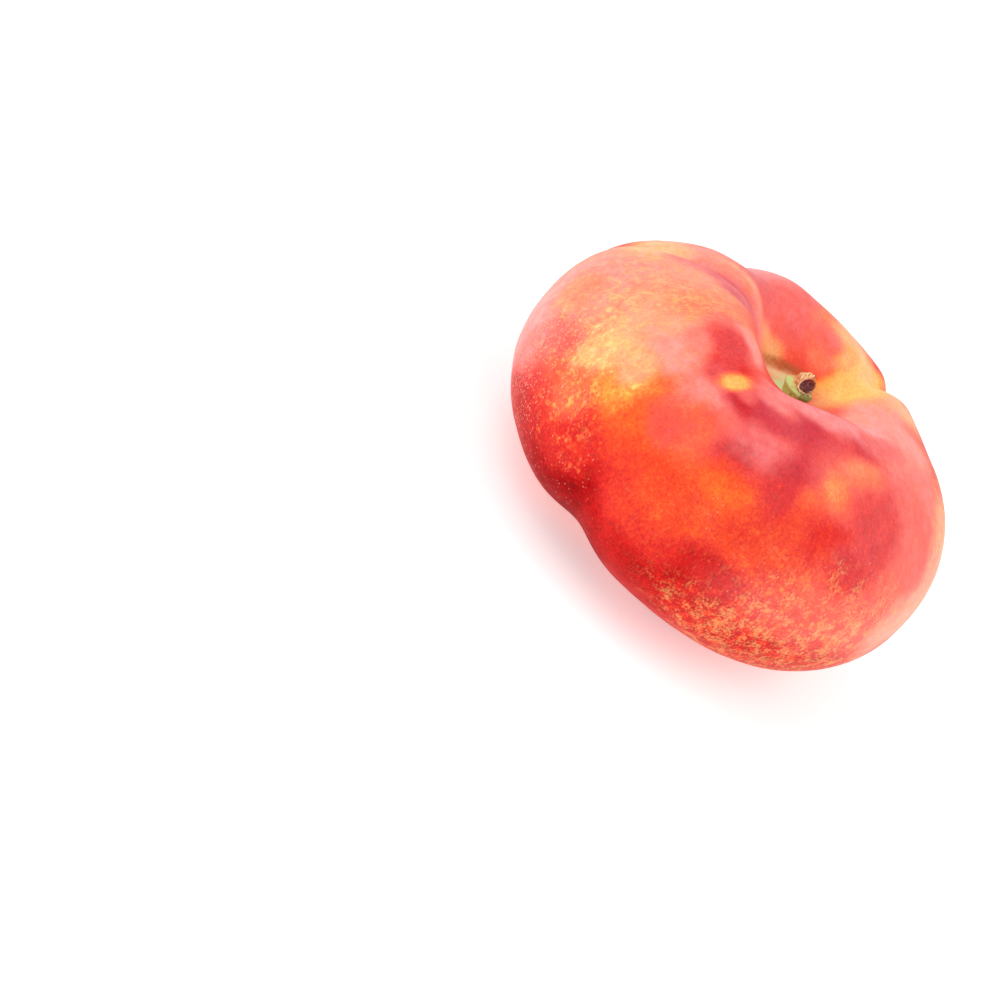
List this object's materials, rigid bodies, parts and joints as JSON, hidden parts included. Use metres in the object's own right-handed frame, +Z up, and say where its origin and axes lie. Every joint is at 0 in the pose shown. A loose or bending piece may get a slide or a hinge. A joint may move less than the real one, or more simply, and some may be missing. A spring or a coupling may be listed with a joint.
{
  "type": "nectarine",
  "caption": "Whole flat nectarine, doughnut-shaped, with a deep stem hollow, a suture crease and the short green and brown stub of its stem. It rests on its blossom end.",
  "frame": {"origin": "on the surface that the fruit rests on, under the middle of its girth and its stem", "axes": "+Z up along the fruit's own axis, from the blossom end to the stem. -Y is the front, where the rim of the stem hollow is lowest. The suture runs down the left side, -X."},
  "size_m": [0.0679, 0.068, 0.0371],
  "materials": {
    "skin": "satin",
    "stem": "matte"
  },
  "bodies": {
    "root": {"fruit": "skin", "stem": "stem"}
  },
  "joints": []
}
